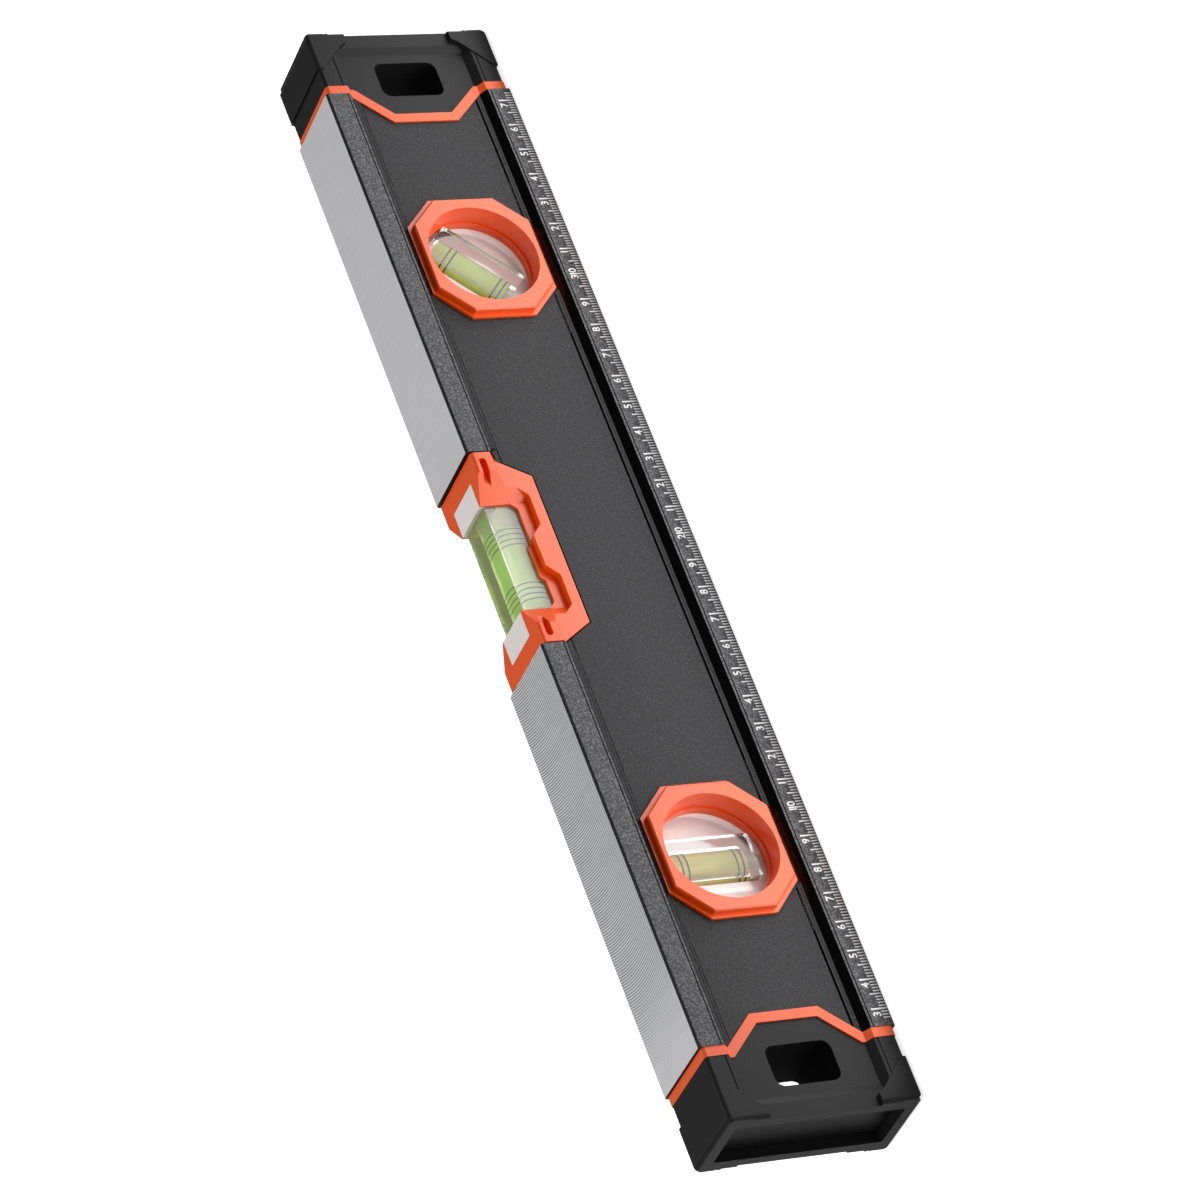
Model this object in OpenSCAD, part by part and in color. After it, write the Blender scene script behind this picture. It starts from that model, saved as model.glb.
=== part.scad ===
// Box-section spirit level with two round side vials, a top vial, magnets in the base and moulded end caps.
// Origin at the middle of the milled base, X along the beam, Y from front to back, Z up.

/* [Overall] */
// Length over the end caps
level_len = 400; // [340:1:600]
// Depth from the front flange to the back flange
level_depth = 28.2; // [27:0.1:32]
// Height from the milled base to the milled top
level_h = 64.2; // [63:0.1:70]

/* [Beam section] */
// Bevel along the edges of the milled faces
beam_bevel = 0.75; // [0.4:0.05:1]
// Height of each flange band up to its fine groove
flange_h = 7.1; // [6.5:0.1:7.5]
// Width of the fine groove along each flange
fine_groove_w = 0.4; // [0.3:0.05:0.6]
// Depth of the fine groove
fine_groove_d = 0.3; // [0.2:0.05:0.5]
// Height of the narrow band between the fine groove and the slope
rim_band_h = 0.65; // [0.4:0.05:0.9]
// Depth of the web behind the flange
web_depth = 3.0; // [2.8:0.05:3.3]
// Height of the slope between the flange and the raised strip
slope_h = 2.05; // [1.8:0.05:2.3]
// Height of the raised strip beside the slope
strip_h = 1.6; // [1.2:0.05:2]
// How far the strip stands proud of the web
strip_proud = 0.45; // [0.3:0.05:0.6]
// Width of the fine line along the middle of the strip
strip_line_w = 0.25; // [0.15:0.05:0.4]
// Width of the root groove between the strip and the web
root_groove_w = 0.5; // [0.3:0.05:0.8]
// Depth of the root groove below the web
root_groove_d = 0.3; // [0.2:0.05:0.5]
// Thickness of the webs
web_t = 1.6; // [1.4:0.05:1.8]
// Thickness of the flange walls
flange_t = 1.8; // [1.5:0.05:2.2]
// Thickness of the top wall under the milled face
top_wall = 2.4; // [2:0.1:3.5]
// Thickness of the base wall that holds the magnets
base_wall = 5.8; // [5.4:0.1:6.5]

/* [End caps] */
// Length of each cap along the flange
cap_len = 21.5; // [21:0.1:24]
// Set-back of the cap from the flange faces
cap_side_inset = 0.45; // [0.3:0.05:0.6]
// Set-back of the cap from the milled faces
cap_face_inset = 1.2; // [0.8:0.05:1.5]
// How far the tongue reaches along the web past the cap's flange edge
tongue_reach = 10.2; // [9:0.1:11]
// Height of the tongue at its root
tongue_root_h = 41.6; // [40:0.1:43]
// Height of the tongue at its tip
tongue_tip_h = 19.7; // [18:0.1:22]
// Length of the spigot inside the beam
spigot_len = 14; // [12:0.5:20]
// Wall of the spigot and of the hollow inside the cap
cap_wall = 2.0; // [1.6:0.1:2.4]
// Depth of the recess in the end face
end_recess_d = 3.8; // [3:0.1:4.5]
// Rim between the end recess and the edges of the end face
end_rim_w = 3.3; // [3:0.1:4]
// Length of the raised rim strip at the end of the panel
end_strip_len = 5.0; // [4.5:0.1:6]
// Depth of that rim strip behind the flange
end_strip_depth = 1.75; // [1.5:0.05:2]
// Length of the slope from the rim strip to the panel
end_strip_slope = 2.4; // [2:0.1:2.6]
// Length of the corner pads along the edge
pad_len = 14.2; // [13.5:0.1:15]
// Height of the pads' toe at that length
pad_toe_h = 2.8; // [2:0.1:3.5]
// Distance from the end where the pads' cut corner turns up
pad_waist_len = 5.2; // [4.5:0.1:6]
// Height where the pads' cut corner turns up
pad_waist_h = 11.4; // [10.5:0.1:12]
// Length of the pads' upper edge at the end
pad_heel_len = 3.5; // [3.2:0.1:4.2]
// Height of the corner pads at the end
pad_h = 13.9; // [13:0.1:15]
// Set-back of the corner pads from the milled faces
pad_face_inset = 0.5; // [0.3:0.05:0.7]
// Radius along the outer edges of the pads
pad_edge_r = 1.3; // [1:0.1:1.6]
// Radius of the pads' corner at the end
pad_corner_r = 3; // [2.5:0.1:3.5]
// Width of the hang slot
slot_w = 13.4; // [12:0.1:13.6]
// Height of the hang slot
slot_h = 21.4; // [18:0.1:24]
// Corner radius of the hang slot
slot_r = 3; // [2:0.1:4]
// Distance from the end face to the middle of the hang slot
slot_from_end = 17.4; // [17.2:0.1:18.5]

/* [Cap gaskets] */
// Thickness of the soft gasket between beam and cap
gasket_t = 3.2; // [2.8:0.1:3.6]
// Depth of the gasket's web part behind the flange
gasket_depth = 2.4; // [2.2:0.05:2.6]
// How much the gasket stands out over the cap's outline
gasket_proud = 0.2; // [0.1:0.05:0.3]
// Clearance between the gasket, the spigot and the beam
spigot_clear = 0.15; // [0.1:0.05:0.25]

/* [Round vial bezels] */
// Distance from each end face to the middle of the round vial
round_vial_from_end = 90; // [82:1:100]
// Width of the octagonal face along the beam
bezel_w = 43.4; // [43:0.1:46]
// Height of the octagonal face
bezel_h = 39.5; // [39.2:0.1:41]
// Length of the octagon's edges that run along the beam
bezel_edge_x = 24.8; // [22:0.1:26]
// Length of the octagon's upright edges
bezel_edge_z = 20.5; // [18:0.1:22]
// Width of the lower rim step all round the face
rim_step = 1.3; // [1.1:0.05:1.4]
// Depth of the rim step behind the flange
rim_depth = 2.2; // [1.8:0.05:2.4]
// Bevel round the face's outer edge
bezel_bevel = 0.4; // [0.2:0.05:0.6]
// Diameter of the round opening at the face
opening_d = 36.2; // [35.8:0.1:36.4]
// Diameter of the bore where it meets the retaining lip
bore_d = 35.9; // [35.5:0.1:36.1]
// Diameter of the retaining lip over the disc
lip_d = 34.8; // [34.2:0.1:35.2]
// Depth of the clear disc's front behind the flange
disc_depth = 9.5; // [9.1:0.1:10.5]
// Thickness of the retaining lip
lip_t = 2.8; // [2:0.1:3.2]
// Clearance round the bezel body in the beam's cut-out
cutout_clear = 0.3; // [0.2:0.05:0.4]
// How much smaller the cut-out is than the bezel's rim, each side
cutout_ledge = 1.5; // [1.2:0.05:1.6]
// How deep the seat for the bezel is milled below the web
seat_d = 0.18; // [0.1:0.01:0.25]
// Margin of the milled seat round the bezel's rim
seat_margin = 0.8; // [0.5:0.05:0.9]
// Wall between the disc's seat and the locating pins
snap_wall = 0.7; // [0.5:0.05:0.8]
// Diameter of the locating pins that join the two bezel halves
snap_pin_d = 1.8; // [1.4:0.1:2]
// Length of the locating pins
snap_pin_len = 3; // [2:0.1:4]
// Clearance of the locating pins in their sockets
snap_clear = 0.1; // [0.05:0.01:0.15]

/* [Round vials] */
// Diameter of the clear disc
disc_d = 37; // [36.6:0.1:37.2]
// Clearance of the disc in the bezel halves
disc_clear = 0.1; // [0.05:0.01:0.15]
// Width of the clear bar that runs across the disc
bar_w = 14.8; // [14:0.1:15.2]
// Depth of the bar's front face behind the flange
bar_depth = 6.7; // [6.3:0.1:7.2]
// Reach of the bar's lower end from the disc's middle
bar_low = 13.8; // [13.2:0.1:14.4]
// Reach of the bar's upper end from the disc's middle
bar_high = 16; // [15.4:0.1:16.4]
// Radius of the bar's end corners
bar_corner_r = 1; // [0.6:0.1:1.5]
// Clearance between the bar's corners and the retaining lip
bar_lip_clear = 0.2; // [0.1:0.05:0.3]
// Bore of the tube in the bar
round_tube_d = 9; // [8:0.1:9.6]
// Reach of the tube's lower end from the disc's middle
round_tube_low = 11.4; // [11.2:0.1:12.4]
// Reach of the tube's closed upper end from the disc's middle
round_tube_high = 14.6; // [14.4:0.1:15]
// Diameter of the filling hole at the tube's lower end
fill_d = 5.6; // [4:0.1:6.4]
// Gap between the rim of the disc and the plug in the filling hole
round_plug_inset = 0.8; // [0.4:0.1:1.5]
// Distance from the tube's middle to the inner ring of each pair
round_ring_in = 8.1; // [7.6:0.1:8.4]
// Distance from the tube's middle to the outer ring of each pair
round_ring_out = 10; // [9.6:0.1:10.4]
// Width of the rings along the round vials' tubes
round_ring_w = 0.5; // [0.3:0.05:0.6]
// Thickness of the rings
ring_t = 0.15; // [0.1:0.01:0.2]
// Length of the bubble in the plumb vial
plumb_bubble_len = 14; // [12:0.5:14.5]
// Diameter of the bubble in the plumb vial
plumb_bubble_d = 3.6; // [3:0.1:4]
// How far the plumb vial's bubble lies below the tube's middle
plumb_bubble_drop = 3.2; // [2.4:0.1:3.8]
// Length of the bubble in the miter vial
miter_bubble_len = 8; // [7.5:0.1:8.2]
// Diameter of the bubble in the miter vial
miter_bubble_d = 5; // [4.6:0.1:5.6]
// How far the miter vial's bubble has run towards the closed end of its tube
miter_bubble_shift = 10.4; // [10:0.1:10.4]

/* [Top vial frame] */
// Length of the frame along the beam
frame_len = 69.6; // [68:0.1:72]
// Set-back of the frame's top from the milled top
frame_face_inset = 1.2; // [0.8:0.05:1.5]
// Length of the full-depth part at each end of the frame
frame_full_len = 7.0; // [6.4:0.1:7.4]
// Radius along the frame's top front and back edges
frame_edge_r = 1.0; // [0.6:0.1:1.3]
// Distance between the inner faces of the two end towers
tower_gap = 38.4; // [38.2:0.1:39]
// Width of the towers at their inner faces
tower_tip_w = 16.6; // [16.2:0.1:17.5]
// Height of the frame's flange band over the beam's own slope
flange_lap = 0.55; // [0.3:0.05:0.8]
// Depth of the lower plate behind the flange
plate_depth = 3.0; // [2.6:0.05:3.1]
// Height from the lower plate's bottom edge up to the milled top
plate_drop = 20.2; // [19:0.1:21]
// Length of the lower plate's bottom edge
plate_edge_len = 54; // [50:0.5:58]
// Height from the window's sill up to the milled top
sill_drop = 16.9; // [16:0.1:17.2]
// Bevel at the window's lower corners
window_bevel = 3.2; // [2.5:0.1:3.6]
// Length of the raised middle of the sill
hump_len = 11.2; // [9:0.1:13]
// Length of the slopes beside the raised middle
hump_slope_len = 3.8; // [3:0.1:4.5]
// Height of the raised middle of the sill
hump_h = 3.6; // [3.2:0.05:3.8]
// Thickness of the cradle walls in front of and behind the clear block
cradle_wall = 1.0; // [0.8:0.05:1.2]
// Height from the cradle walls' edge up to the milled top
cradle_drop = 13; // [12.6:0.1:13.2]
// Rise of the middle of the cradle walls
cradle_rise = 1.4; // [1:0.1:1.6]
// Length of the raised middle of the cradle walls
cradle_len = 11; // [9:0.1:12]
// Place of the raised middle, from the middle of the beam
cradle_mid = -2.5; // [-3:0.1:0]
// Bevel at the ends of the cradle walls
cradle_bevel = 2; // [1.5:0.1:2.4]
// Height of the side slots in the frame's towers
grip_slot_h = 2.3; // [1.8:0.1:2.8]
// Height of the middle of the side slots below the milled top
grip_slot_drop = 4.25; // [4:0.05:4.5]
// Depth of the side slots
grip_slot_d = 2.5; // [2:0.1:3]
// Wall between each side slot's round end and the frame's end
grip_slot_wall = 2.1; // [1.8:0.1:2.6]
// Gap between the frame and the beam's cut-out
frame_clear = 0.5; // [0.3:0.05:0.6]
// Length of strip milled away beside the frame
strip_relief = 2.9; // [2:0.1:4]

/* [Top vial] */
// Depth of the clear block from front to back
block_w = 14.8; // [14:0.1:15]
// Height of the clear block
block_h = 14.8; // [14:0.1:15]
// Set-back of the block's top from the milled top
block_face_inset = 2.7; // [2.3:0.1:2.9]
// Clearance between the block and the frame
block_clear = 0.2; // [0.1:0.05:0.3]
// Bevel at the block's lower end corners
block_bevel = 1.0; // [0.6:0.1:1.4]
// Length of the tabs under the clamp plates
tab_len = 8.2; // [7:0.1:8.4]
// Thickness of the tabs
tab_t = 4.4; // [3:0.1:5]
// Bore of the tube in the block
top_tube_d = 9; // [8:0.1:9.6]
// Start of the fluid, from the middle of the beam
top_fluid_start = -16.8; // [-17.4:0.1:-16]
// End of the fluid at the plug, from the middle of the beam
top_fluid_end = 13; // [12.6:0.1:14]
// Middle between the two groups of rings, from the middle of the beam
top_ring_mid = -0.7; // [-1.2:0.1:-0.2]
// Distance from that middle to the nearest ring
top_ring_first = 7.1; // [6.8:0.1:7.4]
// Spacing of the rings in each group
top_ring_pitch = 1.9; // [1.7:0.05:2]
// Width of the rings along the top vial's tube
top_ring_w = 0.35; // [0.25:0.05:0.5]
// Length of the bubble in the top vial
top_bubble_len = 12; // [11:0.5:13]
// Diameter of the bubble in the top vial
top_bubble_d = 4.4; // [4:0.1:5]

/* [Clamp plates] */
// Length of each clamp plate along the beam
clamp_len = 8.7; // [8.5:0.05:8.8]
// Width of each clamp plate
clamp_w = 15.3; // [15:0.05:15.4]
// Thickness of the clamp plates
clamp_t = 1.4; // [1.2:0.05:1.4]
// Clearance round the clamp plates in their pockets
clamp_clear = 0.1; // [0.05:0.01:0.15]

/* [Base magnets] */
// Diameter of the magnets
magnet_d = 12; // [10:0.1:12.5]
// Thickness of the magnets
magnet_t = 4.2; // [4:0.1:4.4]
// Set-back of the magnets behind the milled base
magnet_inset = 0.15; // [0.1:0.05:0.2]
// Clearance of the magnets in their blind bores
magnet_clear = 0.1; // [0.05:0.01:0.15]
// Distance from each end face to the outer magnet
magnet_from_end = 60; // [50:1:75]
// Distance between the outer and the inner magnet on each side
magnet_pitch = 85; // [70:1:95]

/* [Hidden] */
$fn = 64;

// Slack that carries a cutting tool past the faces it cuts
over = 1;
half_d = level_depth / 2;
half_h = level_h / 2;
cap_u0 = level_len / 2 - cap_len;
beam_end = cap_u0 - gasket_t;
strip_depth = web_depth - strip_proud;
slope_z0 = flange_h + fine_groove_w + rim_band_h;
slope_rate = slope_h / strip_depth;
strip_z0 = slope_z0 + slope_h;
root_z0 = strip_z0 + strip_h;
line_z = strip_z0 + strip_h / 2;
tongue_slope = (tongue_root_h - tongue_tip_h) / 2 / tongue_reach;
tongue_offset = norm([1, tongue_slope]);
spigot_half_y = half_d - web_depth - web_t - spigot_clear;
spigot_z0 = base_wall + spigot_clear;
spigot_z1 = level_h - top_wall - spigot_clear;
spigot_u0 = beam_end - spigot_len;
slot_u = level_len / 2 - slot_from_end;
round_vial_x = level_len / 2 - round_vial_from_end;
disc_half_t = half_d - disc_depth;
seat_depth = web_depth + seat_d;
pin_out = disc_d / 2 + disc_clear + snap_wall + snap_pin_d / 2;
round_plug_a = -disc_d / 2 + round_plug_inset;
round_ring_places = [-round_ring_out, -round_ring_in, round_ring_in, round_ring_out];
frame_top = level_h - frame_face_inset;
frame_half = frame_len / 2;
plate_z = level_h - plate_drop;
sill_z = level_h - sill_drop;
plate_slope_z1 = level_h - slope_z0 + flange_lap;
plate_slope_z0 = plate_slope_z1 - plate_depth * slope_rate;
block_top = level_h - block_face_inset;
block_z = block_top - block_h;
block_half = tower_gap / 2 - block_clear;
top_tube_z = block_top - block_h / 2;
top_ring_places = [for (side = [-1, 1]) for (i = [0:3])
    top_ring_mid + side * (top_ring_first + i * top_ring_pitch)];
clamp_z = frame_top - clamp_t;
clamp_x = tower_gap / 2 + clamp_clear + clamp_len / 2;
tab_z0 = clamp_z - tab_t;
magnet_far_x = level_len / 2 - magnet_from_end;
magnet_near_x = magnet_far_x - magnet_pitch;
magnet_xs = [-magnet_far_x, -magnet_near_x, magnet_near_x, magnet_far_x];

black_plastic = [0.13, 0.13, 0.13];
black_coat = [0.2, 0.2, 0.21];
orange_plastic = [0.93, 0.25, 0.13];
orange_rubber = [0.95, 0.42, 0.28];
clear_acrylic = [0.9, 0.93, 0.92, 0.35];
vial_fluid = [0.76, 0.9, 0.35, 0.6];
bubble_air = [0.96, 0.97, 0.95, 0.4];
ring_black = [0.08, 0.1, 0.08];
plug_green = [0.72, 0.76, 0.55, 0.8];
bright_metal = [0.78, 0.78, 0.8];
magnet_nickel = [0.6, 0.6, 0.62];

// Height of the slope at a depth behind the flange
function slope_z(depth) = slope_z0 + depth * slope_rate;

// Mirrors the lower front quarter of a section, as depths and heights, into the closed outline in Y and Z
function full_section(q) = let (n = len(q)) concat(
    [for (p = q) [p[0] - half_d, p[1]]],
    [for (i = [n - 1:-1:0]) [q[i][0] - half_d, level_h - q[i][1]]],
    [for (p = q) [half_d - p[0], level_h - p[1]]],
    [for (i = [n - 1:-1:0]) [half_d - q[i][0], q[i][1]]]
);

// Outer quarter of the beam, with its fine groove, slope, raised strip and root groove
beam_quarter = [
    [beam_bevel, 0], [0, beam_bevel],
    [0, flange_h], [fine_groove_d, flange_h],
    [fine_groove_d, flange_h + fine_groove_w], [0, flange_h + fine_groove_w],
    [0, slope_z0], [strip_depth, strip_z0],
    [strip_depth, line_z - strip_line_w / 2], [strip_depth + strip_line_w / 2, line_z],
    [strip_depth, line_z + strip_line_w / 2], [strip_depth, root_z0],
    [web_depth + root_groove_d, root_z0], [web_depth + root_groove_d, root_z0 + root_groove_w],
    [web_depth, root_z0 + root_groove_w]
];

// Outer quarter of the cap, with the same groove and slope
function cap_quarter() = [
    [cap_side_inset + beam_bevel, cap_face_inset], [cap_side_inset, cap_face_inset + beam_bevel],
    [cap_side_inset, flange_h], [cap_side_inset + fine_groove_d, flange_h],
    [cap_side_inset + fine_groove_d, flange_h + fine_groove_w],
    [cap_side_inset, flange_h + fine_groove_w],
    [cap_side_inset, slope_z(cap_side_inset)], [web_depth, slope_z(web_depth)]
];

// Outer quarter of the gasket
function gasket_quarter() = let (s = cap_side_inset - gasket_proud, f = cap_face_inset - gasket_proud) [
    [s + beam_bevel, f], [s, f + beam_bevel], [s, slope_z(s)], [gasket_depth, slope_z(gasket_depth)]
];

// Extrudes a Y and Z outline along X
module along_x(x0, x1) {
    translate([x0, 0, 0])
        rotate([90, 0, 90])
            linear_extrude(x1 - x0)
                children();
}

// Extrudes an X and Z outline along Y
module along_y(y0, y1) {
    translate([0, y1, 0])
        rotate([90, 0, 0])
            linear_extrude(y1 - y0)
                children();
}

// Rectangle with round corners, centred
module round_rect(w, h, r) {
    square([w - 2 * r, h], center = true);
    square([w, h - 2 * r], center = true);
    for (i = [-1, 1])
        for (j = [-1, 1])
            translate([i * (w / 2 - r), j * (h / 2 - r)])
                circle(r);
}

// Octagon of the bezels, moved out by g on every edge
module octagon(g) {
    w = bezel_w / 2 + g;
    h = bezel_h / 2 + g;
    a = bezel_edge_x / 2 + g * tan(22.5);
    b = bezel_edge_z / 2 + g * tan(22.5);
    polygon([[a, h], [w, b], [w, -b], [a, -h], [-a, -h], [-w, -b], [-w, b], [-a, h]]);
}

// Tongue outline on the +X side, moved out by g, from its tip back to u1
module tongue_outline(g, u1) {
    u0 = cap_u0 - tongue_reach - g;
    tip = tongue_tip_h / 2 + g * (tongue_offset - tongue_slope);
    root = tip + (u1 - u0) * tongue_slope;
    polygon([
        [u0, half_h - tip], [u1, half_h - root], [u1, half_h + root], [u0, half_h + tip]
    ]);
}

// Front outline of the top vial frame, moved out by g
module frame_outline(g, z1) {
    lean = (frame_half - plate_edge_len / 2) / (plate_slope_z1 - plate_z);
    foot = plate_edge_len / 2 + g * (norm([1, lean]) - lean);
    side = frame_half + g;
    knee = plate_z - g + (side - foot) / lean;
    polygon([
        [-foot, plate_z - g], [foot, plate_z - g], [side, knee], [side, z1], [-side, z1], [-side, knee]
    ]);
}

// Tube or rod across a round vial, along its own axis, from a to b
module tube_rod(angle, r, a, b) {
    rotate([0, angle, 0])
        translate([0, 0, a])
            cylinder(h = b - a, r = r);
}

// Bubble with round ends, lying along Z about the origin
module bubble_shape(d, l) {
    cylinder(h = l - d, d = d, center = true);
    for (end = [-1, 1])
        translate([0, 0, end * (l - d) / 2])
            sphere(d = d);
}

module beam() {
    color(black_coat)
        difference() {
            along_x(-beam_end, beam_end) polygon(full_section(beam_quarter));
            beam_hollow();
            for (side = [0, 1])
                mirror([side, 0, 0])
                    along_y(-half_d - over, half_d + over)
                        tongue_outline(gasket_t, beam_end + over);
            for (side = [-1, 1])
                translate([side * round_vial_x, 0, 0]) bezel_cutout();
            along_y(-half_d - over, half_d + over) frame_outline(frame_clear, level_h + over);
            for (side = [-1, 1]) strip_relief_cut(side);
            for (x = magnet_xs)
                translate([x, 0, -over])
                    cylinder(h = over + magnet_t + magnet_inset, d = magnet_d + 2 * magnet_clear);
        }
}

// Inside of the beam, an even wall behind the flanges, slopes and webs
module beam_hollow() {
    t = web_t * norm([1, slope_rate]);
    z_flange = slope_z(flange_t) - t;
    z_web = slope_z(web_depth + web_t) - t;
    f = half_d - flange_t;
    w = half_d - web_depth - web_t;
    along_x(-beam_end - over, beam_end + over)
        polygon([
            [-f, base_wall], [f, base_wall], [f, z_flange], [w, z_web],
            [w, level_h - z_web], [f, level_h - z_flange], [f, level_h - top_wall],
            [-f, level_h - top_wall], [-f, level_h - z_flange], [-w, level_h - z_web],
            [-w, z_web], [-f, z_flange]
        ]);
}

// Octagonal hole through both webs with a shallow milled seat round it
module bezel_cutout() {
    translate([0, 0, half_h]) {
        along_y(-half_d - over, half_d + over) octagon(rim_step - cutout_ledge);
        for (side = [-1, 1])
            translate([0, side * (half_d - seat_depth / 2 + over / 2), 0])
                along_y(-(seat_depth + over) / 2, (seat_depth + over) / 2)
                    octagon(rim_step + seat_margin);
    }
}

// Milled run-out of the raised strip beside the top vial frame
module strip_relief_cut(side) {
    z0 = level_h - root_z0 - root_groove_w;
    z1 = level_h - strip_z0;
    x0 = plate_edge_len / 2;
    x1 = frame_half + strip_relief;
    for (face = [-1, 1])
        translate([side * (x0 + x1) / 2, face * (half_d - seat_depth / 2 + over / 2), (z0 + z1) / 2])
            cube([x1 - x0, seat_depth + over, z1 - z0], center = true);
}

// End cap on the +X side
module end_cap() {
    color(black_plastic)
        difference() {
            union() {
                along_x(cap_u0, level_len / 2) polygon(full_section(cap_quarter()));
                end_strips();
                corner_pads();
                along_y(-half_d + web_depth, half_d - web_depth) tongue_outline(0, cap_u0 + over);
                spigot();
            }
            cap_hollow();
            end_recess();
            translate([slot_u, 0, half_h])
                along_y(-half_d - over, half_d + over) round_rect(slot_w, slot_h, slot_r);
        }
}

// Raised rim strip across each side panel at the end, with its slope down to the panel
module end_strips() {
    e = level_len / 2;
    y = half_d - end_strip_depth;
    p = half_d - web_depth;
    z0 = slope_z(end_strip_depth);
    translate([0, 0, z0])
        linear_extrude(level_h - 2 * z0)
            polygon([
                [e, -y], [e, y], [e - end_strip_len, y], [e - end_strip_len - end_strip_slope, p],
                [e - end_strip_len - end_strip_slope, -p], [e - end_strip_len, -y]
            ]);
}

// Corner pads flush with the flanges, rounded along their outer edges, wrapped over the top and the base
module corner_pads() {
    e = level_len / 2;
    intersection() {
        along_y(-half_d, half_d) {
            pad_outline();
            translate([0, level_h]) mirror([0, 1]) pad_outline();
        }
        along_x(e - pad_len - over, e + over)
            translate([0, half_h])
                round_rect(level_depth, level_h - 2 * pad_face_inset, pad_edge_r);
        linear_extrude(level_h)
            round_rect(level_len, level_depth, pad_edge_r);
    }
}

// Outline of a lower corner pad, with a cut corner towards the panel and a round outer corner
module pad_outline() {
    e = level_len / 2;
    z0 = pad_face_inset;
    difference() {
        polygon([
            [e, z0], [e - pad_len, z0], [e - pad_len, pad_toe_h], [e - pad_waist_len, pad_waist_h],
            [e - pad_heel_len, pad_h], [e, pad_h]
        ]);
        difference() {
            translate([e - pad_corner_r, z0 - over]) square([pad_corner_r + over, pad_corner_r + over]);
            translate([e - pad_corner_r, z0 + pad_corner_r]) circle(pad_corner_r);
            translate([e - 2 * pad_corner_r, z0 - over]) square([pad_corner_r, 2 * pad_corner_r]);
        }
    }
}

// Spigot that plugs into the beam
module spigot() {
    along_x(spigot_u0, cap_u0 + over)
        polygon([
            [-spigot_half_y, spigot_z0], [spigot_half_y, spigot_z0],
            [spigot_half_y, spigot_z1], [-spigot_half_y, spigot_z1]
        ]);
}

// Hollow of the cap, open towards the beam, with a boss left round the hang slot
module cap_hollow() {
    e = level_len / 2 - end_recess_d - cap_wall;
    y = spigot_half_y - cap_wall;
    difference() {
        translate([spigot_u0 - over, -y, spigot_z0 + cap_wall])
            cube([e - spigot_u0 + over, 2 * y, spigot_z1 - spigot_z0 - 2 * cap_wall]);
        translate([slot_u, 0, half_h])
            along_y(-half_d, half_d)
                round_rect(slot_w + 2 * cap_wall, slot_h + 2 * cap_wall, slot_r + cap_wall);
    }
}

// Shallow recess in the end face
module end_recess() {
    w = level_depth - 2 * end_strip_depth - 2 * end_rim_w;
    h = level_h - 2 * cap_face_inset - 2 * end_rim_w;
    along_x(level_len / 2 - end_recess_d, level_len / 2 + over)
        translate([0, half_h])
            round_rect(w, h, 1);
}

// Soft ring between the beam's end and the cap on the +X side, following the tongue
module cap_gasket() {
    color(orange_rubber)
        difference() {
            union() {
                along_x(beam_end, cap_u0) polygon(full_section(gasket_quarter()));
                intersection() {
                    along_y(-half_d + gasket_depth, half_d - gasket_depth)
                        tongue_outline(gasket_t, beam_end + over);
                    along_x(cap_u0 - tongue_reach - gasket_t, cap_u0)
                        polygon(full_section(gasket_quarter()));
                }
            }
            along_y(-half_d - over, half_d + over) tongue_outline(0, cap_u0 + over);
            along_x(spigot_u0 - over, cap_u0 + over)
                polygon([
                    [-spigot_half_y, spigot_z0], [spigot_half_y, spigot_z0],
                    [spigot_half_y, spigot_z1], [-spigot_half_y, spigot_z1]
                ]);
        }
}

// Places its children at the plumb vial, side -1, or at the miter vial, side 1
module at_round_vial(side) {
    translate([side * round_vial_x, 0, half_h])
        children();
}

// Front half of a bezel, centred on the opening
module bezel_half() {
    body_r = disc_d / 2 + disc_clear;
    draft_h = disc_depth - lip_t;
    mouth_d = opening_d + (opening_d - bore_d) * over / draft_h;
    difference() {
        union() {
            hull() {
                along_y(-half_d, -half_d + bezel_bevel) octagon(-bezel_bevel);
                along_y(-half_d + bezel_bevel, -half_d + rim_depth) octagon(0);
            }
            along_y(-half_d + rim_depth, -half_d + seat_depth) octagon(rim_step);
            along_y(-half_d + seat_depth, 0) octagon(rim_step - cutout_ledge - cutout_clear);
        }
        rotate([90, 0, 0])
            cylinder(h = half_d, d = lip_d);
        translate([0, -disc_half_t - lip_t, 0])
            rotate([90, 0, 0])
                cylinder(h = draft_h + over, d1 = bore_d, d2 = mouth_d);
        translate([0, over, 0])
            rotate([90, 0, 0])
                cylinder(h = disc_half_t + over, r = body_r);
    }
}

// Places its children at the four locating pins of a bezel
module at_snap_pins() {
    for (i = [-1, 1])
        for (j = [-1, 1])
            translate([i * pin_out * cos(45), 0, j * pin_out * sin(45)])
                rotate([90, 0, 0])
                    children();
}

module bezel_front() {
    color(orange_plastic) {
        bezel_half();
        at_snap_pins()
            translate([0, 0, -snap_pin_len])
                cylinder(h = snap_pin_len + over, d = snap_pin_d);
    }
}

module bezel_back() {
    color(orange_plastic)
        difference() {
            mirror([0, 1, 0]) bezel_half();
            at_snap_pins()
                translate([0, 0, -snap_pin_len - snap_clear])
                    cylinder(h = snap_pin_len + over, d = snap_pin_d + 2 * snap_clear);
        }
}

// Rings of width w round a tube, one at each distance from its middle
module ring_bands(r, places, w) {
    for (p = places)
        translate([0, 0, p - w / 2])
            difference() {
                cylinder(h = w, r = r + ring_t);
                translate([0, 0, -over]) cylinder(h = w + 2 * over, r = r);
            }
}

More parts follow.
